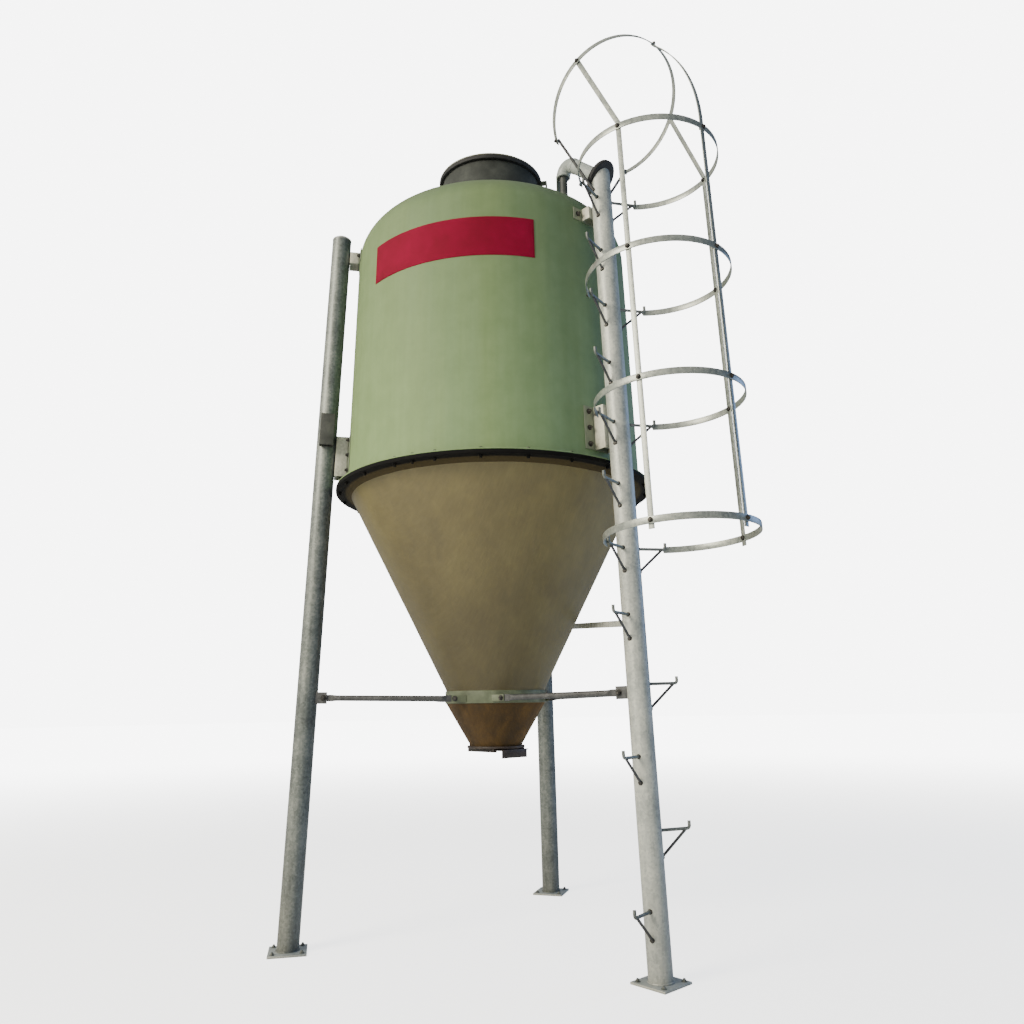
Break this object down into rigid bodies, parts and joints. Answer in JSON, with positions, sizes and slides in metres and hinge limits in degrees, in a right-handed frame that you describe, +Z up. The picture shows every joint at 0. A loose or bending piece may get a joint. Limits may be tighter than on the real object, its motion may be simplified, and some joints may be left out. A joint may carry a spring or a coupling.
{
  "type": "polyester silo",
  "caption": "Polyester bulk silo with a cone outlet and slide gate on three leaning tube legs, one of them a climbing pole with a safety cage up to the roof hatch.",
  "frame": {"origin": "on the ground, at the middle of the whole object's box", "axes": "+Z up, -Y towards the climbing pole and its cage, +X to the right as seen from the cage"},
  "size_m": [1.9478, 2.4197, 4.2455],
  "materials": {
    "green_gelcoat": "weathered green gelcoat on glass-fibre laminate",
    "bare_laminate": "uncoated brown glass-fibre laminate",
    "grey_laminate": "grey glass-fibre laminate",
    "olive_lid": "olive glass-fibre laminate",
    "ring_steel": "dull steel band with a greenish tone",
    "galvanised_steel": "dull hot-dip galvanised",
    "zinc_bracket": "pale zinc",
    "dark_painted_steel": "dark paint",
    "grey_plastic": "grey plastic cap",
    "black_rubber": "black rubber sleeve"
  },
  "bodies": {
    "frame": {"body_shell": "green_gelcoat", "body_flange": "green_gelcoat", "roof_dome": "green_gelcoat", "cone_shell": "bare_laminate", "cone_flange": "bare_laminate", "lower_cone": "bare_laminate", "outlet_flange": "grey_laminate", "ring_band": "ring_steel", "hatch_collar": "grey_laminate", "gate_guides": "galvanised_steel", "climbing_pole": "galvanised_steel", "left_leg": "galvanised_steel", "right_leg": "galvanised_steel", "left_leg_cap": "grey_plastic", "right_leg_cap": "grey_plastic", "front_foot_plate": "galvanised_steel", "left_foot_plate": "galvanised_steel", "right_foot_plate": "galvanised_steel", "leg_pocket": "dark_painted_steel", "front_upper_bracket": "zinc_bracket", "front_lower_bracket": "zinc_bracket", "left_upper_bracket": "zinc_bracket", "left_lower_bracket": "zinc_bracket", "right_upper_bracket": "zinc_bracket", "right_lower_bracket": "zinc_bracket", "front_tie_bar_left": "galvanised_steel", "front_tie_bar_right": "galvanised_steel", "left_tie_bar_left": "galvanised_steel", "left_tie_bar_right": "galvanised_steel", "right_tie_bar_left": "galvanised_steel", "right_tie_bar_right": "galvanised_steel", "upper_tie_bar": "galvanised_steel", "cage_hoop_06": "galvanised_steel", "cage_hoop_08": "galvanised_steel", "cage_hoop_10": "galvanised_steel", "cage_hoop_12": "galvanised_steel", "cage_hoop_top": "galvanised_steel", "cage_strap_left": "galvanised_steel", "cage_strap_middle": "galvanised_steel", "cage_strap_right": "galvanised_steel", "vent_pipe": "zinc_bracket", "vent_strip": "zinc_bracket", "pole_sleeve": "black_rubber"},
    "lid": {"hatch_lid": "olive_lid"},
    "gate": {"slide_gate": "galvanised_steel"}
  },
  "joints": [
    {"name": "lid_hinge", "type": "hinge", "parent": "frame", "child": "lid", "pos_m": [-0.21533, 0.6252, 4.087], "axis": [-0.766, -0.6428, 0], "range_deg": [0, 100]},
    {"name": "gate_slide", "type": "slide", "parent": "frame", "child": "gate", "axis": [0, -1, 0], "range_m": [0, 0.18]}
  ]
}
